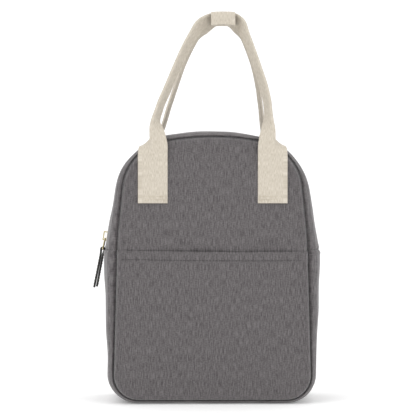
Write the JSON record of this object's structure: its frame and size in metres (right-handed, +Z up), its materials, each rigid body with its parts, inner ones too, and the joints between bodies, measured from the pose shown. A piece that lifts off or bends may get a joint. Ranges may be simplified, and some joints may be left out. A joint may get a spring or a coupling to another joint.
{
  "type": "insulated lunch bag",
  "caption": "Soft insulated lunch bag of grey cloth with an arched zip top, flat front pocket and two cream webbing handles held by a wrap.",
  "frame": {"origin": "middle of the base, on the surface the bag stands on", "axes": "+Z up, the pocket side faces -Y, +X is to the right as seen from the front"},
  "size_m": [0.2204, 0.1181, 0.3814],
  "materials": {
    "charcoal_cloth": "heathered plain-weave polyester, matte",
    "liner_film": "heat-sealed PEVA film, satin",
    "insulation_foam": "closed-cell foam sheet",
    "cotton_webbing": "natural cotton webbing, matte",
    "dark_tape": "woven polyester tape",
    "nylon_coil": "nylon coil",
    "hook_and_loop": "hook-and-loop tape",
    "cotton_thread": "cotton-wrapped thread",
    "pale_gold_metal": "pale gold plated zinc, polished",
    "black_leather": "black leather, semi-matte"
  },
  "bodies": {
    "bag_body": {"cloth_front_lower": "charcoal_cloth", "cloth_back": "charcoal_cloth", "cloth_gusset_lower": "charcoal_cloth", "cloth_gusset_upper_back": "charcoal_cloth", "foam_front_lower": "insulation_foam", "foam_back": "insulation_foam", "foam_gusset_lower": "insulation_foam", "foam_gusset_upper_back": "insulation_foam", "liner_front_lower": "liner_film", "liner_back": "liner_film", "liner_gusset_lower": "liner_film", "liner_gusset_upper_back": "liner_film", "binding_front_lower": "dark_tape", "binding_back": "dark_tape", "front_pocket": "charcoal_cloth", "zip_tape_back": "dark_tape", "zip_coil_back": "nylon_coil", "zip_stops": "nylon_coil", "back_handle_tabs": "cotton_webbing", "back_handle_stitches": "cotton_thread"},
    "front_flap": {"cloth_front_upper": "charcoal_cloth", "cloth_gusset_upper_front": "charcoal_cloth", "foam_front_upper": "insulation_foam", "foam_gusset_upper_front": "insulation_foam", "liner_front_upper": "liner_film", "liner_gusset_upper_front": "liner_film", "binding_front_upper": "dark_tape", "zip_tape_front": "dark_tape", "zip_coil_front": "nylon_coil", "front_handle_tabs": "cotton_webbing", "front_handle_stitches": "cotton_thread"},
    "front_handle": {"front_handle_loop": "cotton_webbing"},
    "back_handle": {"back_handle_loop": "cotton_webbing", "wrap_base": "cotton_webbing", "wrap_loop_patch": "hook_and_loop"},
    "wrap_flap": {"wrap_flap": "cotton_webbing", "wrap_hook_patch": "hook_and_loop"},
    "zip_slider": {"zip_slider_body": "pale_gold_metal"},
    "pull_link": {"pull_link": "pale_gold_metal"},
    "leather_pull": {"leather_pull": "black_leather"}
  },
  "joints": [
    {"name": "front_flap_fold", "type": "hinge", "parent": "bag_body", "child": "front_flap", "pos_m": [0, -0.054, 0.148], "axis": [1, 0, 0], "range_deg": [0, 45], "deforming": ["zip_tape_front", "zip_coil_front"]},
    {"name": "front_handle_fold", "type": "hinge", "parent": "front_flap", "child": "front_handle", "pos_m": [0, -0.0572, 0.246], "axis": [1, 0, 0], "range_deg": [0, 150]},
    {"name": "back_handle_fold", "type": "hinge", "parent": "bag_body", "child": "back_handle", "pos_m": [0, 0.0572, 0.246], "axis": [-1, 0, 0], "range_deg": [0, 150], "deforming": ["wrap_base", "wrap_loop_patch"]},
    {"name": "wrap_flap_open", "type": "hinge", "parent": "back_handle", "child": "wrap_flap", "pos_m": [0.0113, 0.0112, 0.3806], "axis": [-1, 0, 0], "range_deg": [0, 150], "deforming": ["wrap_flap", "wrap_hook_patch"]},
    {"name": "zip_slide", "type": "slide", "parent": "bag_body", "child": "zip_slider", "axis": [0.1627, 0, 0.9867], "range_m": [0, 0.04]},
    {"name": "pull_link_swing", "type": "hinge", "parent": "zip_slider", "child": "pull_link", "pos_m": [-0.10481, 0, 0.15817], "axis": [0, 1, 0], "range_deg": [0, 140]},
    {"name": "leather_pull_swing", "type": "hinge", "parent": "pull_link", "child": "leather_pull", "pos_m": [-0.1071, 0, 0.14741], "axis": [0, 1, 0], "range_deg": [-4, 60]}
  ]
}
